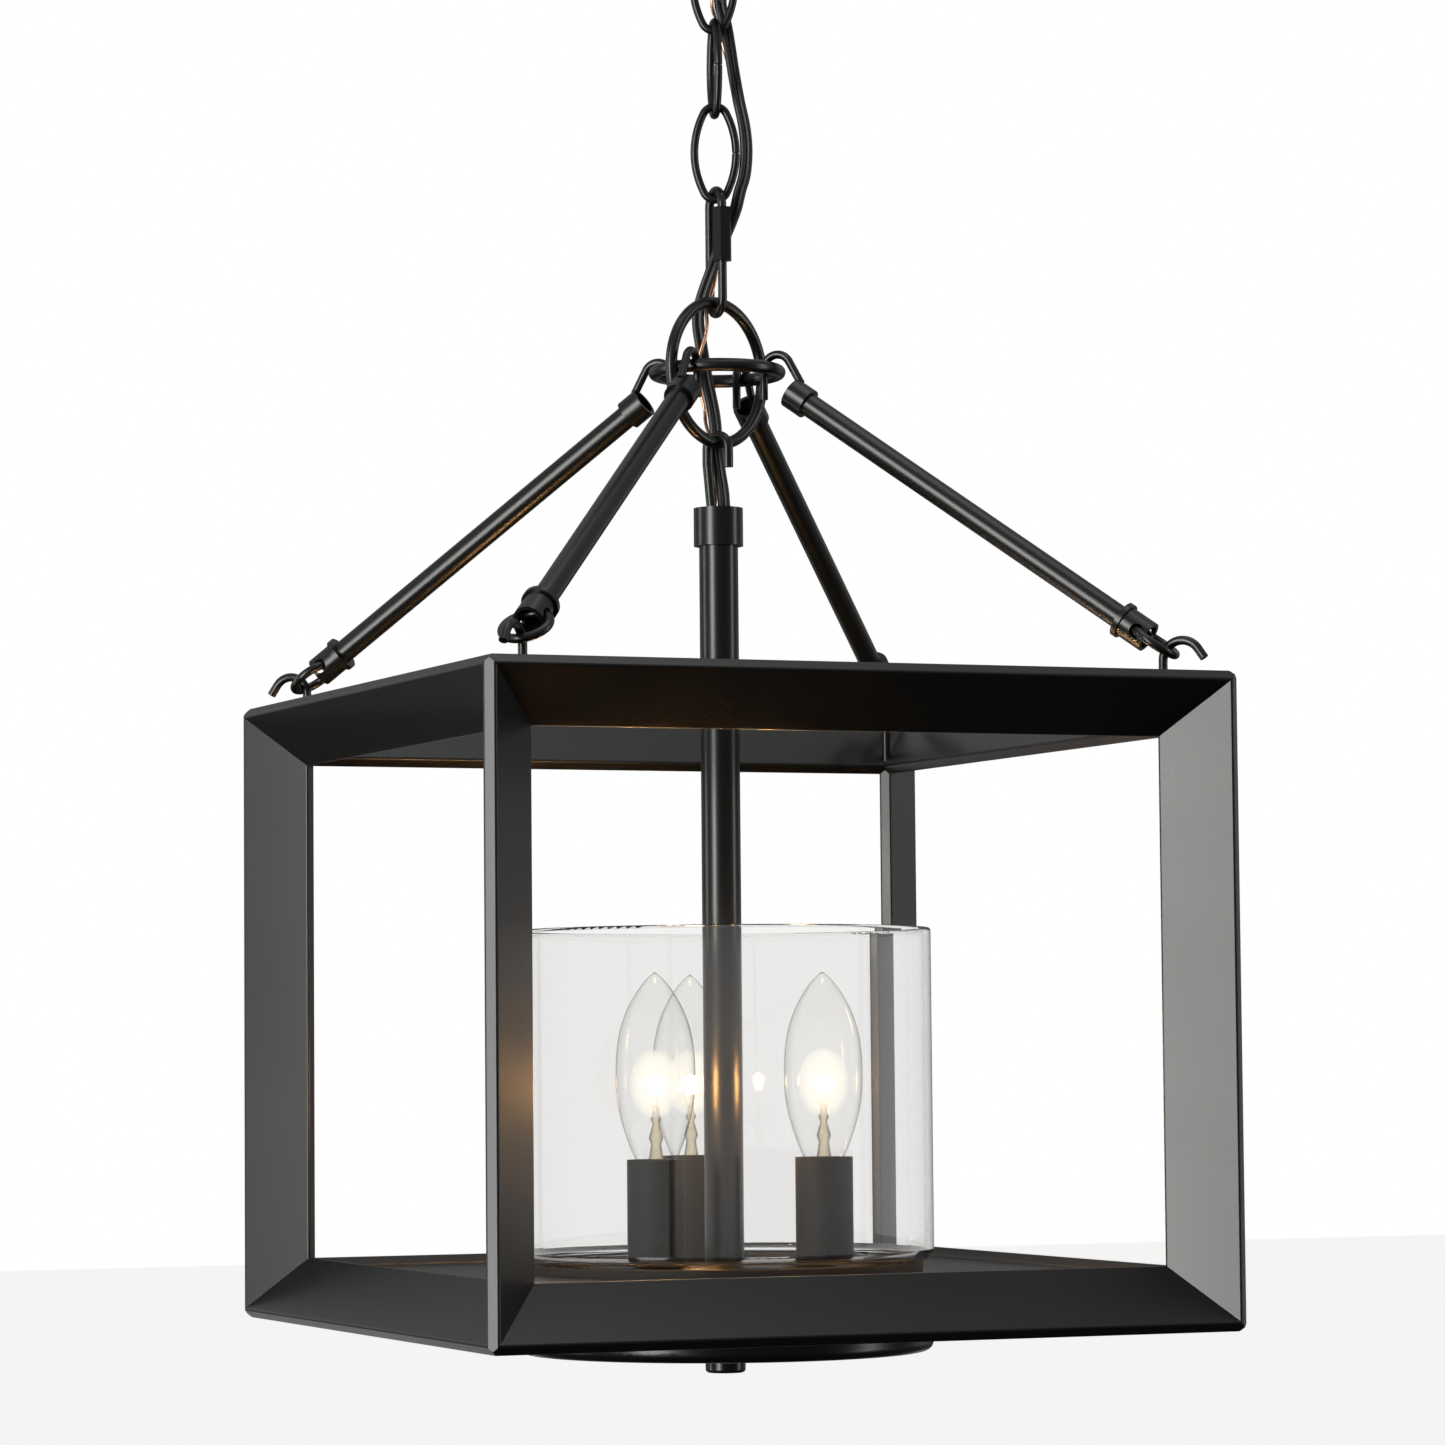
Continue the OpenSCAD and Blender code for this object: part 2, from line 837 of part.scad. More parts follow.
// Lock nuts under the floor: the stem's and the three lamp posts'
module floor_nuts() {
    color("silver")
        translate([0, 0, cage_z + plate_bottom - nut_h]) {
            difference() {
                hexagon(nut_af, nut_h);
                translate([0, 0, -1])
                    cylinder(d = nipple_d, h = nut_h + 2);
            }
            for (turn = lamp_turns)
                rotate([0, 0, turn])
                    translate([lamp_circle_r, 0, 0])
                        difference() {
                            hexagon(nut_af, nut_h);
                            translate([0, 0, -1])
                                cylinder(d = nipple_d, h = nut_h + 2);
                        }
        }
}

// ---- Lamps ----

module at_lamp(k) {
    translate([0, 0, cage_z])
        rotate([0, 0, lamp_turns[k]])
            translate([lamp_circle_r, 0, 0])
                children();
}

module candle_cover(k) {
    color(black)
        at_lamp(k)
            translate([0, 0, plate_top])
                difference() {
                    cylinder(d = cover_d, h = cover_h);
                    translate([0, 0, -1])
                        cylinder(d = cover_d - 2 * cover_wall, h = cover_h + 2);
                }
}

module candle_cover_1() { candle_cover(0); }
module candle_cover_2() { candle_cover(1); }
module candle_cover_3() { candle_cover(2); }

module lamp_sockets() {
    color("#3a2a20")
        for (k = [0 : 2])
            at_lamp(k)
                translate([0, 0, socket_bottom])
                    difference() {
                        cylinder(d = socket_d, h = socket_top - socket_bottom);
                        translate([0, 0, socket_top - socket_bottom - base_l - 2])
                            cylinder(d = base_d + 0.5, h = base_l + 3);
                        translate([0, 0, -1])
                            cylinder(d = nipple_d, h = 5);
                    }
}

module socket_posts() {
    low = plate_bottom - nut_h - 1;
    color("silver")
        for (k = [0 : 2])
            at_lamp(k)
                translate([0, 0, low])
                    difference() {
                        cylinder(d = nipple_d, h = socket_bottom + 4 - low);
                        translate([0, 0, -1])
                            cylinder(d = 6.5, h = socket_bottom + 7 - low);
                    }
}

// Half outline of the bulb, as radius and height: a round belly drawn up to a tip
function belly(t) = (bulb_d / 2) * cos(90 * t ^ 1.45) ^ 0.78;
function neck(t) = glass_neck / 2 + (bulb_d - glass_neck) / 2 * (1 - cos(180 * t)) / 2;
bulb_outline = concat(
    [for (i = [0 : 7]) [neck(i / 8), (i / 8) * (bulb_mid - socket_top - base_gap)]],
    [for (i = [0 : 15])
        [belly(i / 16), bulb_mid - socket_top - base_gap + (i / 16) * (bulb_tip - bulb_mid)]],
    [[0, bulb_tip - socket_top - base_gap]]
);

module bulb_glass(k) {
    inner = [for (p = bulb_outline) [max(p[0] - bulb_wall, 0), min(p[1],
        bulb_tip - socket_top - base_gap - 2 * bulb_wall)]];
    color(clear)
        at_lamp(k)
            translate([0, 0, socket_top + base_gap])
                rotate_extrude()
                    difference() {
                        polygon(concat([[0, 0]], bulb_outline));
                        polygon(concat(
                            [[0, 1.5], [glass_neck / 2 - bulb_wall, 1.5]],
                            [for (p = inner) if (p[1] > 1.5) p]
                        ));
                    }
}

module bulb_glass_1() { bulb_glass(0); }
module bulb_glass_2() { bulb_glass(1); }
module bulb_glass_3() { bulb_glass(2); }

module bulb_base(k) {
    color(brass)
        at_lamp(k)
            translate([0, 0, socket_top + base_gap - base_l])
                union() {
                    translate([0, 0, 2])
                        cylinder(d = base_d, h = base_l - 2);
                    cylinder(d1 = 5, d2 = base_d - 1, h = 2);
                }
}

module bulb_base_1() { bulb_base(0); }
module bulb_base_2() { bulb_base(1); }
module bulb_base_3() { bulb_base(2); }

// Glass mount with its post and the lit filament round the post's top
module bulb_filaments(k) {
    mount_z = socket_top + base_gap + 1.5;
    color("gold")
        at_lamp(k)
            translate([0, 0, mount_z]) {
                cylinder(d = 7, h = 18);
                translate([0, 0, 18])
                    cylinder(d1 = 7, d2 = 3, h = 3);
                translate([0, 0, 21])
                    cylinder(d = 3, h = 14);
                translate([0, 0, 33])
                    difference() {
                        cylinder(d = 14, h = 1.4);
                        translate([0, 0, -1])
                            cylinder(d = 12, h = 4);
                    }
                translate([-6.6, -0.6, 33])
                    cube([13.2, 1.2, 1.2]);
            }
}

module bulb_filaments_1() { bulb_filaments(0); }
module bulb_filaments_2() { bulb_filaments(1); }
module bulb_filaments_3() { bulb_filaments(2); }

// ---- Base ----

module base_pan() {
    r = pan_d / 2;
    edge = 4;
    color(black)
        translate([0, 0, cage_z + pan_bottom])
            rotate_extrude()
                difference() {
                    union() {
                        square([r - edge, pan_h]);
                        translate([0, edge])
                            square([r, pan_h - edge]);
                        translate([r - edge, edge])
                            circle(r = edge);
                    }
                    translate([0, pan_t])
                        square([r - edge, pan_h]);
                    translate([0, edge])
                        square([r - pan_t, pan_h]);
                    translate([r - edge, edge])
                        circle(r = edge - pan_t);
                    translate([0, -1])
                        square([nipple_d / 2 + 0.4, 4]);
                }
}

module finial() {
    edge = 1.5;
    color(black)
        translate([0, 0, cage_z + pan_bottom - finial_h])
            rotate_extrude()
                difference() {
                    union() {
                        square([finial_d / 2 - edge, finial_h]);
                        translate([0, edge])
                            square([finial_d / 2, finial_h - edge]);
                        translate([finial_d / 2 - edge, edge])
                            circle(r = edge);
                    }
                    translate([0, 3.5])
                        square([nipple_d / 2 + 0.05, finial_h]);
                    translate([-finial_d, -1])
                        square([finial_d, finial_h + 2]);
                }
}

crossbar();
ground_screw();
canopy_nipple();
nipple_nut();
canopy_loop();
loop_collar();
canopy();
lamp_cord();
ground_wire();
chain_link_1();
chain_link_2();
chain_link_3();
quick_link();
quick_link_nut();
hanging_ring();
spreader_ring();
rod_front_left();
rod_front_right();
rod_back_right();
rod_back_left();
rod_top_cups();
rod_foot_cups();
rod_foot_rings();
corner_hooks();
top_rail_front();
top_rail_right();
top_rail_back();
top_rail_left();
bottom_rail_front();
bottom_rail_right();
bottom_rail_back();
bottom_rail_left();
post_front_left();
post_front_right();
post_back_right();
post_back_left();
floor_plate();
glass_gasket();
glass_cylinder();
stem_hook();
stem_coupling();
stem_tube();
centre_nipple();
floor_nuts();
candle_cover_1();
candle_cover_2();
candle_cover_3();
lamp_sockets();
socket_posts();
bulb_base_1();
bulb_base_2();
bulb_base_3();
bulb_glass_1();
bulb_glass_2();
bulb_glass_3();
bulb_filaments_1();
bulb_filaments_2();
bulb_filaments_3();
base_pan();
finial();
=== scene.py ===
import json
import math

import bmesh
import bpy
from mathutils import Matrix, Vector

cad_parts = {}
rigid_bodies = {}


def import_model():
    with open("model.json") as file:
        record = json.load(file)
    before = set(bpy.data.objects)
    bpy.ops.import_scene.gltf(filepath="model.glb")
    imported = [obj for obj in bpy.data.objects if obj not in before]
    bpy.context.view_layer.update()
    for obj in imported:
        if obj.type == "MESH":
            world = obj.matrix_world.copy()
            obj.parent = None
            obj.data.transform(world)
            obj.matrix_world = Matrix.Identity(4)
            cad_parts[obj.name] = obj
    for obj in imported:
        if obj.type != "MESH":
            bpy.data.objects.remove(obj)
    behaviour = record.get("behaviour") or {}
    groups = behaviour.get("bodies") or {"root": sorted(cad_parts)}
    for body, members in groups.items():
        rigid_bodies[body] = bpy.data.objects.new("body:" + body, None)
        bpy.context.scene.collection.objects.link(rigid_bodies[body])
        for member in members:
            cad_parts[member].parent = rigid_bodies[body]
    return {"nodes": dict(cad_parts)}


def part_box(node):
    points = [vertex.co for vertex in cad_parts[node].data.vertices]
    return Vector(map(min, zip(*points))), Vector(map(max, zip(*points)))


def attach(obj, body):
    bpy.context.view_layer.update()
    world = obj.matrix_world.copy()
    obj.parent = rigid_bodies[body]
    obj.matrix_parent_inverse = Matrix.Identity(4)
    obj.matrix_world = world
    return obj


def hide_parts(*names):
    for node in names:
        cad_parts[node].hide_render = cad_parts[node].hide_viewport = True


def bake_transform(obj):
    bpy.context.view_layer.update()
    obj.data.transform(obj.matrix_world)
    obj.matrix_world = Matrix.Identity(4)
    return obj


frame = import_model()
for leftover in ("Cube", "Light", "Camera"):  # the start-up file's own
    if leftover in bpy.data.objects:
        bpy.data.objects.remove(bpy.data.objects[leftover])
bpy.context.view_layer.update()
nodes = frame["nodes"]
scene = bpy.context.scene
mm = 0.001
cageZ = (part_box("post_front_left")[0].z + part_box("post_front_left")[1].z) / 2
print("frame loaded,", len(nodes), "pieces, cage centre at", round(cageZ, 4))


# A node socket that can be used in sums
class Tap:
    def __init__(self, paint, out):
        self.paint = paint
        self.out = out

    def maths(self, operation, first, second):
        return self.paint.put("ShaderNodeMath", {"operation": operation}, {0: first, 1: second})

    def __add__(self, other):
        return self.maths("ADD", self, other)

    def __radd__(self, other):
        return self.maths("ADD", other, self)

    def __sub__(self, other):
        return self.maths("SUBTRACT", self, other)

    def __rsub__(self, other):
        return self.maths("SUBTRACT", other, self)

    def __mul__(self, other):
        return self.maths("MULTIPLY", self, other)

    def __rmul__(self, other):
        return self.maths("MULTIPLY", other, self)

    def __pow__(self, other):
        return self.maths("POWER", self, other)


# One material's or world's node tree
class Paint:
    def __init__(self, owner):
        owner.use_nodes = True
        self.owner = owner
        self.tree = owner.node_tree
        self.tree.nodes.clear()

    def put(self, kind, settings=None, sockets=None, out=0):
        node = self.tree.nodes.new(kind)
        for name, value in (settings or {}).items():
            if name == "stops":
                ramp = node.color_ramp
                while len(ramp.elements) < len(value):
                    ramp.elements.new(0.5)
                for element, (place, grey) in zip(ramp.elements, value):
                    element.position = place
                    element.color = (grey, grey, grey, 1)
            else:
                setattr(node, name, value)
        for key, value in (sockets or {}).items():
            if isinstance(value, Tap):
                self.tree.links.new(value.out, node.inputs[key])
            else:
                node.inputs[key].default_value = value
        return Tap(self, node.outputs[out]) if len(node.outputs) else None

    def mixColours(self, amount, first, second):
        return self.put("ShaderNodeMix", {"data_type": "RGBA"}, {0: amount, 6: first, 7: second}, 2)

    def place(self):
        return self.put("ShaderNodeTexCoord", out="Object")

    def noise(self, scale, detail=2.0):
        return self.put("ShaderNodeTexNoise", None,
                        {"Vector": self.place(), "Scale": scale, "Detail": detail}, "Fac")

    def finish(self, shader):
        inWorld = isinstance(self.owner, bpy.types.World)
        kind = "ShaderNodeOutputWorld" if inWorld else "ShaderNodeOutputMaterial"
        self.put(kind, None, {"Surface": shader})
        return self.owner


def startPaint(name):
    return Paint(bpy.data.materials.new(name))


blackPaintLook = {
    "colour": (0.0028, 0.0028, 0.0028, 1), "worn": (0.0048, 0.0048, 0.0046, 1),
    "roughness": 0.27, "cloudiness": 0.05, "grainScale": 900.0, "grainDepth": 0.006,
}


def makeBlackPaint(name, look):
    paint = startPaint(name)
    cloud = paint.noise(16.0, 3.0)
    grain = paint.noise(look["grainScale"], 2.0)
    bump = paint.put("ShaderNodeBump", None,
                     {"Strength": look["grainDepth"], "Distance": 0.0004, "Height": grain})
    return paint.finish(paint.put("ShaderNodeBsdfPrincipled", None, {
        "Base Color": paint.mixColours(cloud, look["colour"], look["worn"]),
        "Roughness": look["roughness"] + (cloud - 0.5) * look["cloudiness"] + grain * 0.04,
        "Specular IOR Level": look.get("shine", 0.5),
        "Normal": bump,
    }))


def makePlain(name, colour, roughness, metallic=0.0, variation=0.15, scale=60.0, bumpDepth=0.05):
    paint = startPaint(name)
    cloud = paint.noise(scale, 3.0)
    darker = tuple(c * (1 - variation) for c in colour[:3]) + (1,)
    bump = paint.put("ShaderNodeBump", None,
                     {"Strength": bumpDepth, "Distance": 0.0003, "Height": paint.noise(900.0)})
    return paint.finish(paint.put("ShaderNodeBsdfPrincipled", None, {
        "Base Color": paint.mixColours(cloud, darker, colour),
        "Roughness": roughness + (cloud - 0.5) * 0.1,
        "Metallic": metallic,
        "Normal": bump,
    }))


# Thin clear glass: see-through, with a shine that grows towards its edges and painted shade that darkens its
# rims as they turn away from view
def makeClearGlass(name, tint, paintedRimShade, shineFloor, shineRise, paintedRimShadeFalloff):
    paint = startPaint(name)
    facing = paint.put("ShaderNodeLayerWeight", None, {"Blend": 0.5}, "Facing")
    smudge = paint.noise(22.0, 2.0)
    clear = paint.put("ShaderNodeBsdfTransparent", None, {"Color": tint})
    # painted shade: a dark see-through colour on the rims, standing in for the dark surroundings that real
    # glass bends into view there
    rimShade = paint.put("ShaderNodeBsdfTransparent", None, {"Color": paintedRimShade})
    body = paint.put("ShaderNodeMixShader", None, {0: facing ** paintedRimShadeFalloff, 1: clear, 2: rimShade})
    shine = paint.put("ShaderNodeBsdfPrincipled", None, {
        "Base Color": (0.75, 0.78, 0.8, 1), "Metallic": 1.0,
        "Roughness": 0.02 + smudge * 0.03,
    })
    amount = shineFloor + (facing ** 3.5) * shineRise
    return paint.finish(paint.put("ShaderNodeMixShader", None, {0: amount, 1: body, 2: shine}))


# Real clear glass that still lets the lamps' light out
def makeThickGlass(name, tint):
    paint = startPaint(name)
    smudge = paint.noise(22.0, 2.0)
    glass = paint.put("ShaderNodeBsdfPrincipled", None, {
        "Base Color": tint, "Transmission Weight": 1.0, "IOR": 1.46,
        "Specular IOR Level": 0.2, "Roughness": smudge * 0.01})
    clear = paint.put("ShaderNodeBsdfTransparent", None, {"Color": tint})
    shadow = paint.put("ShaderNodeLightPath", out="Is Shadow Ray")
    return paint.finish(paint.put("ShaderNodeMixShader", None, {0: shadow, 1: glass, 2: clear}))


def makeGlow(name, colour, strength):
    paint = startPaint(name)
    cloud = paint.noise(400.0)
    warm = tuple(c * 0.9 for c in colour[:3]) + (1,)
    paint.owner.cycles.emission_sampling = "NONE"  # the lamp's point light does the lighting
    return paint.finish(paint.put("ShaderNodeBsdfPrincipled", None, {
        "Base Color": (0.9, 0.7, 0.4, 1), "Roughness": 0.5,
        "Emission Color": paint.mixColours(cloud, warm, colour), "Emission Strength": strength,
    }))


# A soft haze of light round the hot wire, thick in the middle and gone at its rim
def makeHaze(name, colour, strength):
    paint = startPaint(name)
    facing = paint.put("ShaderNodeLayerWeight", None, {"Blend": 0.5}, "Facing")
    light = paint.put("ShaderNodeEmission", None, {"Color": colour, "Strength": strength})
    clear = paint.put("ShaderNodeBsdfTransparent", None, {"Color": (1, 1, 1, 1)})
    thick = (1 - facing) ** 1.7
    paint.owner.cycles.emission_sampling = "NONE"
    return paint.finish(paint.put("ShaderNodeMixShader", None, {0: thick * 0.8, 1: clear, 2: light}))


blackPaint = makeBlackPaint("satinBlackPaint", blackPaintLook)
plateBlack = makeBlackPaint("glossBlackPaint", {
    "colour": (0.002, 0.002, 0.002, 1), "worn": (0.004, 0.004, 0.004, 1),
    "roughness": 0.16, "cloudiness": 0.05, "grainScale": 700.0, "grainDepth": 0.006})
coverBlack = makeBlackPaint("candleCoverPaint", {
    "colour": (0.005, 0.005, 0.005, 1), "worn": (0.008, 0.008, 0.008, 1),
    "roughness": 0.55, "cloudiness": 0.06, "grainScale": 900.0, "grainDepth": 0.008, "shine": 0.2})
cordBlack = makePlain("cordSheath", (0.016, 0.016, 0.017, 1), 0.45, scale=120.0)
copperLook = makePlain("bareCopper", (0.9, 0.5, 0.3, 1), 0.3, 1.0, scale=300.0)
zincLook = makePlain("zincSteel", (0.62, 0.62, 0.6, 1), 0.35, 1.0)
brassLook = makePlain("brassCap", (0.75, 0.55, 0.28, 1), 0.3, 1.0)
rubberLook = makePlain("rubberPad", (0.012, 0.012, 0.012, 1), 0.75)
socketLook = makePlain("socketBody", (0.07, 0.045, 0.03, 1), 0.6)
greenLook = makePlain("greenScrew", (0.03, 0.22, 0.08, 1), 0.4)
cylinderGlass = makeThickGlass("cylinderGlass", (0.925, 0.922, 0.915, 1))
# both glasses get painted shade on their rims; the mount's painted rim shade is a warm brown
bulbGlassLook = makeClearGlass(
    "bulbGlass", tint=(0.985, 0.985, 0.98, 1), paintedRimShade=(0.16, 0.155, 0.15, 1),
    shineFloor=0.03, shineRise=0.35, paintedRimShadeFalloff=5.0)
mountGlassLook = makeClearGlass(
    "mountGlass", tint=(0.9, 0.85, 0.74, 1), paintedRimShade=(0.1, 0.06, 0.03, 1),
    shineFloor=0.06, shineRise=0.4, paintedRimShadeFalloff=1.3)
hotWireLook = makeGlow("hotWire", (1.0, 0.83, 0.55, 1), 60.0)
hazeLook = makeHaze("hotWireHaze", (1.0, 0.95, 0.84, 1), 1.25)
supportLook = makePlain("supportWire", (0.7, 0.62, 0.5, 1), 0.3, 1.0)

finishes = {
    "floor_plate": plateBlack, "crossbar": zincLook, "canopy_nipple": zincLook, "nipple_nut": zincLook,
    "centre_nipple": zincLook, "floor_nuts": zincLook, "socket_posts": zincLook, "ground_screw": greenLook,
    "glass_gasket": rubberLook, "glass_cylinder": cylinderGlass, "lamp_sockets": socketLook,
    "lamp_cord": cordBlack, "ground_wire": copperLook,
}
for name, piece in nodes.items():
    look = finishes.get(name, blackPaint)
    if name.startswith("bulb_base"):
        look = brassLook
    if name.startswith("bulb_glass"):
        look = bulbGlassLook
    if name.startswith("bulb_filaments"):
        look = hotWireLook
    if name.startswith("candle_cover"):
        look = coverBlack
    piece.data.materials.clear()
    piece.data.materials.append(look)
print("finishes on")


# A geometry node tree with named inputs, closed by Realize Instances and Set Material
class Shape:
    def __init__(self, name, inputs):
        self.tree = bpy.data.node_groups.new(name, "GeometryNodeTree")
        self.tree.interface.new_socket("Geometry", in_out="INPUT", socket_type="NodeSocketGeometry")
        self.sockets = {}
        for label, (kind, value) in inputs.items():
            made = self.tree.interface.new_socket(label, in_out="INPUT", socket_type=kind)
            if value is not None:
                made.default_value = value
            self.sockets[label] = made.identifier
        self.tree.interface.new_socket("Geometry", in_out="OUTPUT", socket_type="NodeSocketGeometry")
        self.start = self.tree.nodes.new("NodeGroupInput")
        self.end = self.tree.nodes.new("NodeGroupOutput")

    def put(self, kind, settings=None, sockets=None, out=0):
        node = self.tree.nodes.new(kind)
        for name, value in (settings or {}).items():
            setattr(node, name, value)
        for key, value in (sockets or {}).items():
            if isinstance(value, bpy.types.NodeSocket):
                self.tree.links.new(value, node.inputs[key])
            else:
                node.inputs[key].default_value = value
        return node.outputs[out]

    def given(self, label):
        return self.start.outputs[label]

    def close(self, geometry):
        whole = self.put("GeometryNodeRealizeInstances", None, {"Geometry": geometry})
        painted = self.put("GeometryNodeSetMaterial", None, {
            "Geometry": whole, "Material": self.given("Material")})
        self.tree.links.new(painted, self.end.inputs["Geometry"])


def runShape(name, source, shape, values):
    holder = bpy.data.objects.new(name + "Source", source)
    scene.collection.objects.link(holder)
    modifier = holder.modifiers.new("shape", "NODES")
    modifier.node_group = shape.tree
    for label, value in values.items():
        modifier[shape.sockets[label]] = value
    bpy.context.view_layer.update()
    ready = holder.evaluated_get(bpy.context.evaluated_depsgraph_get())
    mesh = bpy.data.meshes.new_from_object(ready)
    holder.modifiers.clear()
    bpy.data.objects.remove(holder)
    mesh.name = name
    piece = bpy.data.objects.new(name, mesh)
    scene.collection.objects.link(piece)
    for face in mesh.polygons:
        face.use_smooth = True
    return piece


def makeTubeShape():
    shape = Shape("tubeAlongPath", {
        "Radius": ("NodeSocketFloat", 0.001), "Sides": ("NodeSocketInt", 12),
        "Material": ("NodeSocketMaterial", None)})
    outline = shape.put("GeometryNodeCurvePrimitiveCircle", {"mode": "RADIUS"},
                        {"Resolution": shape.given("Sides"), "Radius": shape.given("Radius")})
    tube = shape.put("GeometryNodeCurveToMesh", None, {
        "Curve": shape.given("Geometry"), "Profile Curve": outline, "Fill Caps": True})
    shape.close(tube)
    return shape


tubeShape = makeTubeShape()


def pathCurve(name, paths):
    curve = bpy.data.curves.new(name, "CURVE")
    curve.dimensions = "3D"
    for path in paths:
        spline = curve.splines.new("POLY")
        spline.points.add(len(path) - 1)
        for point, place in zip(spline.points, path):
            point.co = (*place, 1)
    return curve


def makeTubes(name, paths, radius, sides, look):
    curve = pathCurve(name, paths)
    return runShape(name, curve, tubeShape, {"Radius": radius, "Sides": sides, "Material": look})


# A closed or open outline of (radius, height) spun about Z, its poles closed
def spinOutline(name, outline, look, sides=64, middle=Vector((0, 0, 0))):
    mesh = bpy.data.meshes.new(name)
    work = bmesh.new()
    rings = []
    angles = [2 * math.pi * k / sides for k in range(sides)]
    for radius, height in outline:
        if radius < 1e-6:
            rings.append([work.verts.new(middle + Vector((0, 0, height)))])
        else:
            rings.append([
                work.verts.new(middle + Vector((radius * math.cos(a), radius * math.sin(a), height)))
                for a in angles])
    for low, high in zip(rings, rings[1:]):
        for k in range(sides):
            j = (k + 1) % sides
            corners = [low[k % len(low)], low[j % len(low)], high[j % len(high)], high[k % len(high)]]
            work.faces.new(list(dict.fromkeys(corners)))
    bmesh.ops.recalc_face_normals(work, faces=work.faces)
    work.to_mesh(mesh)
    work.free()
    for face in mesh.polygons:
        face.use_smooth = True
    mesh.materials.append(look)
    piece = bpy.data.objects.new(name, mesh)
    scene.collection.objects.link(piece)
    return piece


# Lamp cord and bare wire, led down the chain: (x, y, z) in mm before the chain's turn
chainTurn = math.radians(-22)
cordLook = {"strandRadius": 1.32 * mm, "strandGap": 1.3 * mm, "wireRadius": 0.75 * mm,
            "step": 1.6 * mm, "twistAngle": math.radians(18), "twistRate": 40}
cordRoute = [
    (1, 0, -1), (1, 0, -14), (1, 0, -30), (1.5, 1.2, -40), (2.9, 5.3, -48),
    (5.1, 6.6, -55), (4.7, 7, -65), (3.7, 6.8, -72), (2.7, 6.9, -78), (4.8, 5.8, -87),
    (6.2, 3.4, -96), (7.6, 2.2, -106), (9.8, 1.5, -119), (12, 1.5, -130),
    (12.8, 1.5, -140), (12, 1.5, -150), (10, 1.2, -157), (8, 1, -165), (4.5, 0.5, -174),
    (1, 0.3, -182), (-2, 0, -190), (-4.3, 0.7, -196), (-6, 1.3, -201), (-7.3, 1.5, -206),
    (-7.5, 2.5, -212), (-6.4, 3.6, -220), (-4.6, 4, -232), (-3, 5, -240), (-1.6, 6, -247),
    (-0.8, 7, -254), (-0.6, 7.2, -262), (0.8, 6.4, -272), (2, 5, -280), (2.4, 4.5, -287),
    (2.4, 4.5, -293),
]
wireRoute = [
    (-2.5, 0, -1), (-2.5, 0, -20), (-2.5, 0, -34), (-1.4, -1, -42), (1.4, 0.4, -47),
    (3.3, 2.1, -51), (5, 3.2, -55), (4.6, 3.6, -64), (1.9, 3.5, -71), (-0.8, 5.6, -78),
    (1.2, 7.6, -86), (3.5, 6.7, -95), (6.4, 5.7, -106), (9.6, 5, -119), (12, 5, -130),
    (12.8, 5, -140), (11.6, 5, -150), (9, 4.7, -157), (6.2, 4.1, -165), (3, 3.9, -174),
    (1.4, 3.9, -182), (0.4, 3.4, -188), (-0.6, 2.9, -194), (-2.3, 3.2, -200),
    (-4, 2.5, -206), (-3.9, 0.9, -212), (-4.9, 0.1, -218), (-6.8, -0.1, -224),
    (-7.6, 1.2, -232), (-6.5, 2.9, -240), (-5.1, 4.4, -247), (-4.9, 7, -251),
    (-3.8, 9.2, -256), (-3, 10, -263), (-1.4, 9.6, -272), (-0.8, 8, -280),
    (-1.4, 6.6, -287), (-1.4, 6.6, -293),
]
# Heights where one segment of cord and wire ends and the next starts
joinHeights = [0.0, -71.4 * mm, -106.4 * mm, -141.4 * mm, -182.3 * mm, -0.4]


# Smooth curve through the route's points, sampled every step
def smoothRoute(route, step):
    points = [Matrix.Rotation(chainTurn, 3, "Z") @ (Vector(p) * mm) for p in route]
    points = [2 * points[0] - points[1]] + points + [2 * points[-1] - points[-2]]
    out = []
    for a, b, c, d in zip(points, points[1:], points[2:], points[3:]):
        count = max(2, round((c - b).length / step))
        for i in range(count):
            t = i / count
            out.append(0.5 * (2 * b + (c - a) * t + (2 * a - 5 * b + 4 * c - d) * t * t
                              + (3 * b - a - 3 * c + d) * t * t * t))
    out.append(points[-2])
    return out


# Cuts a path at a height, so neighbours share the point there
def cutPath(path, high, low):
    part = []
    for a, b in zip(path, path[1:]):
        if b.z >= high or a.z <= low:
            continue
        start, finish = a, b
        if a.z > high:
            start = a.lerp(b, (a.z - high) / (a.z - b.z))
        if b.z < low:
            finish = a.lerp(b, (a.z - low) / (a.z - b.z))
        if not part:
            part.append(start)
        part.append(finish)
    return part


middle = smoothRoute(cordRoute, cordLook["step"])
wireMiddle = smoothRoute(wireRoute, cordLook["step"])
strands = [[], []]
for place in middle:
    twist = chainTurn + cordLook["twistAngle"] * math.sin(place.z * cordLook["twistRate"])
    side = Vector((math.cos(twist), math.sin(twist), 0)) * cordLook["strandGap"]
    strands[0].append(place + side)
    strands[1].append(place - side)
for k in range(5):
    high, low = joinHeights[k], joinHeights[k + 1]
    strandPaths = [cutPath(strand, high, low) for strand in strands]
    wirePaths = [cutPath(wireMiddle, high, low)]
    for name, node, paths, radius, look, slot in (
        ("lampCord", "lamp_cord", strandPaths, cordLook["strandRadius"], cordBlack, "cord_sheath"),
        ("groundWire", "ground_wire", wirePaths, cordLook["wireRadius"], copperLook, "bare_copper"),
    ):
        piece = makeTubes(name + str(k + 1), paths, radius, 12, look)
        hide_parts(node)
        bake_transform(piece)
print("cord and wire led down the chain")

lampLook = {
    "baseRadius": 6.0 * mm, "neckRadius": 8.2 * mm, "bellyRadius": 15.8 * mm,
    "bellyRise": 31 * mm, "tipRise": 74.5 * mm, "hotRise": 29 * mm, "glowPower": 1.1,
    "glowColour": (1.0, 0.52, 0.17), "hazeRadius": 10.5 * mm, "hazeReach": 14 * mm, "hazeShift": 1 * mm,
}
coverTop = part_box("candle_cover_1")[1].z


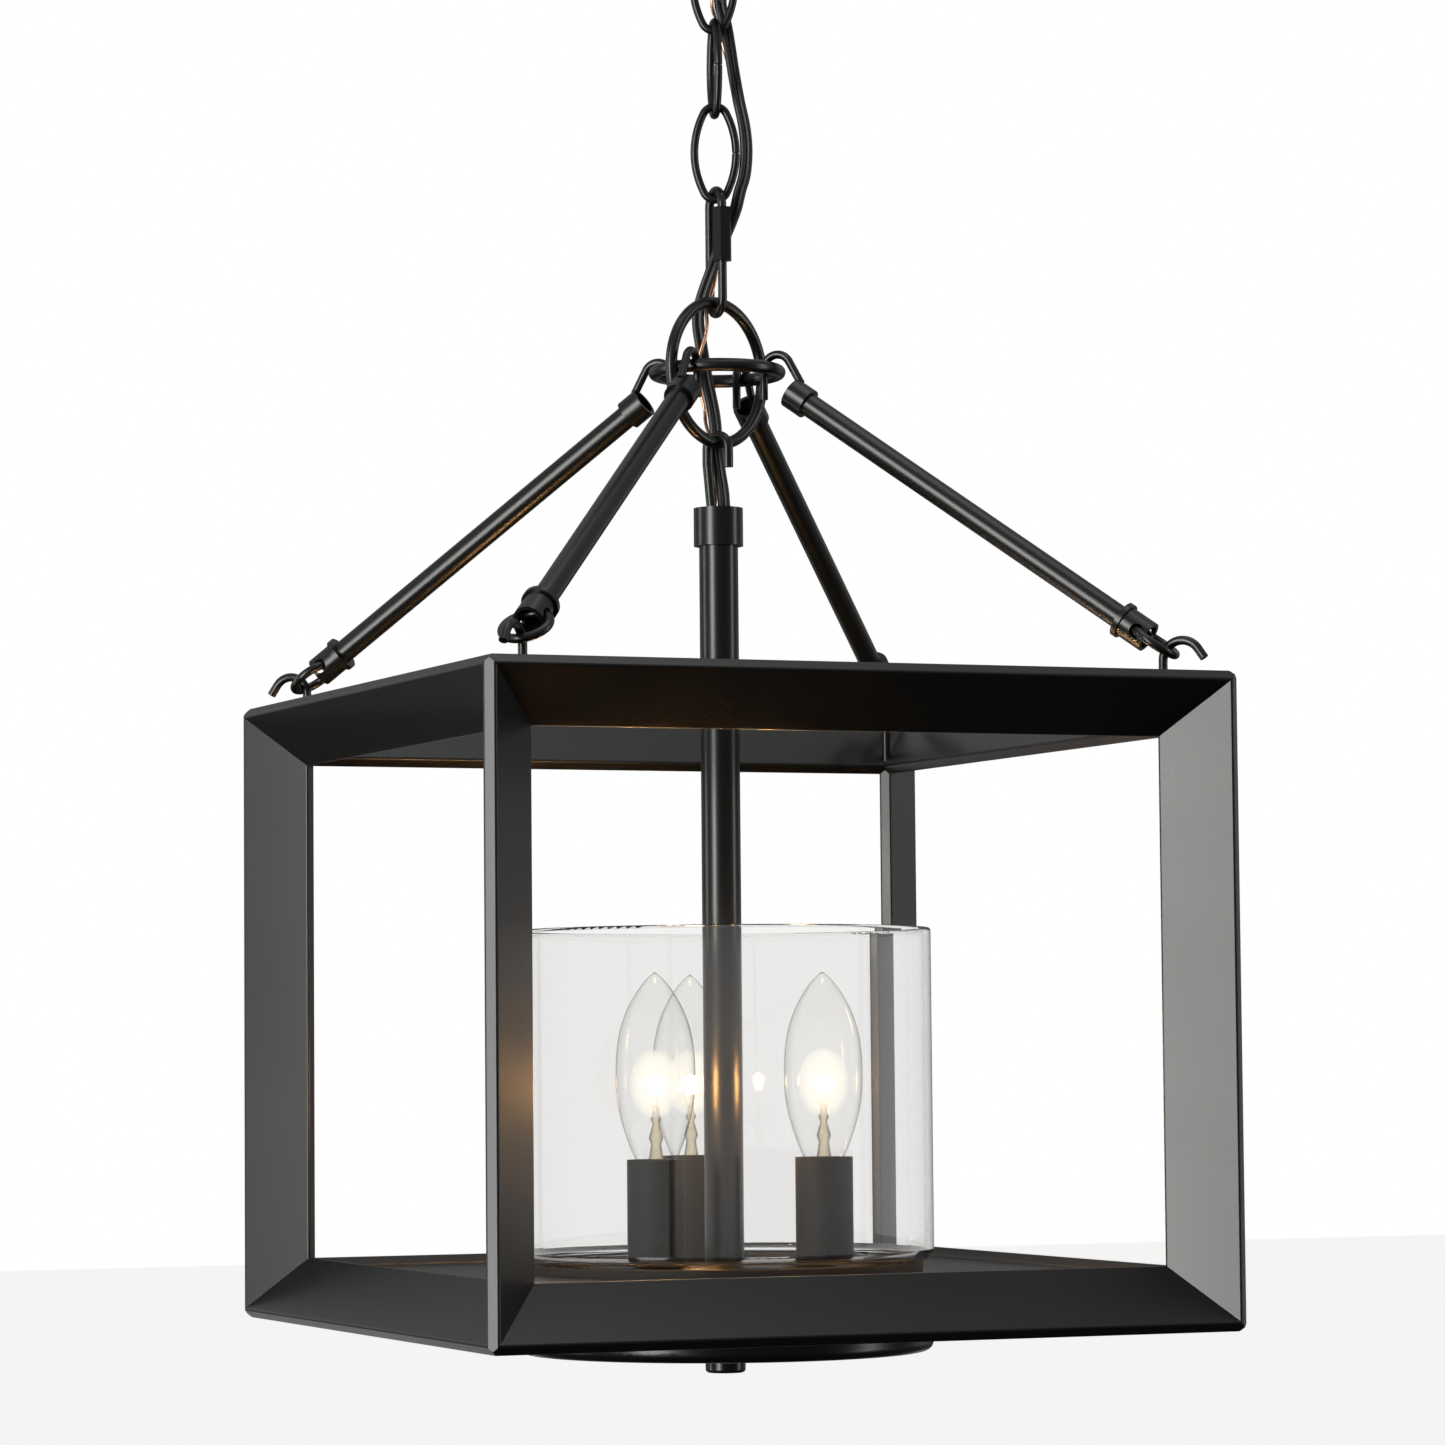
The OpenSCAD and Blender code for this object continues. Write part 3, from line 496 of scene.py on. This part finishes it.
def bulbOutline(look):
    low = [(0.0, -6.5 * mm), (look["baseRadius"] * 0.9, -6.5 * mm), (look["baseRadius"], -6.2 * mm)]
    outline = [(look["baseRadius"], -4 * mm)]
    swell = look["bellyRadius"] - look["neckRadius"]
    for i in range(1, 17):
        t = i / 16
        wide = look["neckRadius"] + swell * math.sin(t * math.pi / 2) ** 0.92
        outline.append((wide, t * look["bellyRise"]))
    rise = look["tipRise"] - look["bellyRise"]
    for i in range(1, 29):
        t = i / 28
        wide = look["bellyRadius"] * max(0.0, math.cos(math.pi / 2 * t ** 1.42)) ** 0.8
        outline.append((wide if i < 28 else 0.0, look["bellyRise"] + t * rise))
    return low + outline


def mountOutline():
    steps = [(0, -6.2), (3.4, -6.2), (3.4, -2), (2.6, 2), (2.0, 6), (2.9, 8.5), (2.2, 11), (1.3, 14),
             (2.1, 16), (1.4, 18), (1.1, 21), (0, 21.6)]
    return [(r * mm, z * mm) for r, z in steps]


def hazeOutline(look):
    outline = []
    for i in range(25):
        angle = math.pi * i / 24
        wide = look["hazeRadius"] * math.sin(angle) if 0 < i < 24 else 0.0
        outline.append((wide, look["hotRise"] + look["hazeShift"] - look["hazeReach"] * math.cos(angle)))
    return outline


def hotWirePath(look, centre, turn):
    path = []
    for i in range(161):
        t = i / 160
        sweep = math.radians(-115 + 230 * t) + turn
        coil = 2 * math.pi * 26 * t
        spread = 4.6 * mm + 0.42 * mm * math.cos(coil)
        rise = look["hotRise"] + 2.2 * mm * math.sin(math.pi * t * 3) + 0.42 * mm * math.sin(coil)
        path.append(centre + Vector((spread * math.cos(sweep), spread * math.sin(sweep), rise)))
    return path


def supportPaths(look, centre, turn):
    paths = []
    for angle in (-115, -40, 40, 115):
        a = math.radians(angle) + turn
        out = Vector((math.cos(a), math.sin(a), 0))
        paths.append([centre + out * 1.2 * mm + Vector((0, 0, 19 * mm)),
                      centre + out * 2.2 * mm + Vector((0, 0, 23 * mm)),
                      centre + out * 4.6 * mm + Vector((0, 0, look["hotRise"]))])
    return paths


for k in (1, 2, 3):
    low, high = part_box(f"bulb_base_{k}")
    centre = Vector(((low.x + high.x) / 2, (low.y + high.y) / 2, coverTop))
    turn = 1.3 * k
    body = f"bulb_{k}"
    glass = spinOutline(f"bulbGlass{k}", bulbOutline(lampLook), bulbGlassLook, 72, centre)
    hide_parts(f"bulb_glass_{k}")
    mount = spinOutline(f"bulbMount{k}", mountOutline(), mountGlassLook, 32, centre)
    hotWire = makeTubes(f"hotWire{k}", [hotWirePath(lampLook, centre, turn)], 0.16 * mm, 6, hotWireLook)
    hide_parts(f"bulb_filaments_{k}")
    supports = makeTubes(f"supportWires{k}", supportPaths(lampLook, centre, turn), 0.22 * mm, 6, supportLook)
    haze = spinOutline(f"hotHaze{k}", hazeOutline(lampLook), hazeLook, 40, centre)
    for piece in (glass, mount, hotWire, supports, haze):
        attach(piece, body)
    for piece in (hotWire, haze):  # the lamp's own light does the lighting
        piece.visible_glossy = False
        piece.visible_diffuse = False
    light = bpy.data.lights.new(f"lampLight{k}", "POINT")
    light.energy = lampLook["glowPower"]
    light.color = lampLook["glowColour"]
    light.shadow_soft_size = 4 * mm
    holder = bpy.data.objects.new(f"lampLight{k}", light)
    holder.location = centre + Vector((0, 0, lampLook["hotRise"]))
    scene.collection.objects.link(holder)
    holder.visible_camera = False
print("three lamps lit")

roomLook = {"floorZ": -1.9, "floorSize": 60.0, "floorColour": (0.8, 0.8, 0.79, 1), "floorGlow": 0.62,
            "below": 0.008, "level": 0.09, "above": 0.5}
work = bmesh.new()
bmesh.ops.create_grid(work, x_segments=1, y_segments=1, size=roomLook["floorSize"] / 2,
                      matrix=Matrix.Translation((0, 0, roomLook["floorZ"])))
floorMesh = bpy.data.meshes.new("floor")
work.to_mesh(floorMesh)
work.free()
floor = bpy.data.objects.new("floor", floorMesh)
floorPaint = startPaint("floorPale")
floorPaint.owner.cycles.emission_sampling = "NONE"
floorTone = floorPaint.mixColours(floorPaint.noise(0.6), (0.78, 0.78, 0.77, 1), roomLook["floorColour"])
floorMesh.materials.append(floorPaint.finish(floorPaint.put("ShaderNodeBsdfPrincipled", None, {
    "Base Color": floorTone, "Roughness": 0.9, "Emission Color": (1, 1, 0.99, 1),
    "Emission Strength": roomLook["floorGlow"]})))
scene.collection.objects.link(floor)
floor.visible_glossy = False  # keeps the undersides dark
floor.visible_diffuse = False

world = bpy.data.worlds.new("paleRoom")
scene.world = world
sky = Paint(world)
direction = sky.put("ShaderNodeTexCoord", out="Generated")
height = sky.put("ShaderNodeSeparateXYZ", None, {0: direction}, "Z") * 0.5 + 0.5
shade = sky.put("ShaderNodeValToRGB", {"stops": [
    (0.0, roomLook["below"]), (0.5, roomLook["level"]), (1.0, roomLook["above"])]}, {0: height})
direct = sky.put("ShaderNodeLightPath", out="Is Camera Ray")
through = sky.put("ShaderNodeLightPath", out="Is Transmission Ray")
seen = direct.maths("MAXIMUM", direct, through)
dim = sky.put("ShaderNodeBackground", None, {"Color": shade, "Strength": 1.0})
white = sky.put("ShaderNodeBackground", None, {"Color": (1, 1, 1, 1), "Strength": 1.0})
sky.finish(sky.put("ShaderNodeMixShader", None, {0: seen, 1: dim, 2: white}))

cameraLook = {"lens": 123.69, "turn": 22.25, "rise": 3.78, "lean": -0.5,
              "centreAt": (-0.0014, -0.11475, 2.0099), "shiftX": -0.0024}
turn, rise, lean = (math.radians(cameraLook[k]) for k in ("turn", "rise", "lean"))
ahead = Vector((math.sin(turn) * math.cos(rise), math.cos(turn) * math.cos(rise), math.sin(rise)))
level = Vector((math.cos(turn), -math.sin(turn), 0))
upright = level.cross(ahead)
right = level * math.cos(lean) + upright * math.sin(lean)
top = upright * math.cos(lean) - level * math.sin(lean)
across, up, away = cameraLook["centreAt"]
cageCentre = Vector((0, 0, cageZ))
cameraData = bpy.data.cameras.new("camera")
cameraData.lens = cameraLook["lens"]
cameraData.sensor_width = 36
cameraData.shift_x = cameraLook["shiftX"]
cameraData.clip_start = 0.05
camera = bpy.data.objects.new("camera", cameraData)
camera.matrix_world = Matrix.Translation(cageCentre - right * across - top * up - ahead * away) @ Matrix(
    (right, top, -ahead)).transposed().to_4x4()
scene.collection.objects.link(camera)
scene.camera = camera

# Softboxes: across, away and up from the cage's centre as the camera sees it, size, power, colour
softboxes = {
    "keyLeft": ((-1.47, -1.76, 0.1), (0.66, 2.2), 55.0, (1.0, 1.0, 0.97)),
    "edgeLeft": ((-2.2, 0.2, 0.1), (0.3, 2.2), 12.0, (1.0, 1.0, 0.98)),
    "edgeRight": ((2.2, -0.2, 0.1), (0.3, 2.2), 12.0, (1.0, 1.0, 0.98)),
    "topSoft": ((0.2, -0.3, 1.9), (1.2, 1.2), 5.0, (1.0, 1.0, 1.0)),
    "backLow": ((-0.2, 2.2, -0.9), (2.0, 0.4), 1.6, (1.0, 1.0, 1.0)),
    "backLeft": ((-1.5, 1.6, 0.3), (0.8, 1.6), 1.1, (1.0, 1.0, 1.0)),
    "backRight": ((1.5, 1.5, 0.3), (0.8, 1.6), 1.1, (1.0, 1.0, 1.0)),
}
flatAhead = Vector((math.sin(turn), math.cos(turn), 0))
clearOfLights = bpy.data.collections.new("clearOfLights")  # glass that shows no softbox in its shine
for piece in [nodes["glass_cylinder"]] + [bpy.data.objects[f"bulbGlass{k}"] for k in (1, 2, 3)]:
    clearOfLights.objects.link(piece)
for entry in clearOfLights.collection_objects:
    entry.light_linking.link_state = "EXCLUDE"
for name, (place, size, power, colour) in softboxes.items():
    lamp = bpy.data.lights.new(name, "AREA")
    lamp.shape = "RECTANGLE"
    lamp.size, lamp.size_y = size
    lamp.energy = power
    lamp.color = colour
    holder = bpy.data.objects.new(name, lamp)
    spot = cageCentre + level * place[0] + flatAhead * place[1] + Vector((0, 0, place[2]))
    holder.location = spot
    holder.rotation_mode = "QUATERNION"
    holder.rotation_quaternion = (cageCentre - spot).to_track_quat("-Z", "Y")
    scene.collection.objects.link(holder)
    holder.light_linking.receiver_collection = clearOfLights
scene.view_settings.view_transform = "Standard"
scene.view_settings.look = "None"
print("room, lights and camera set")
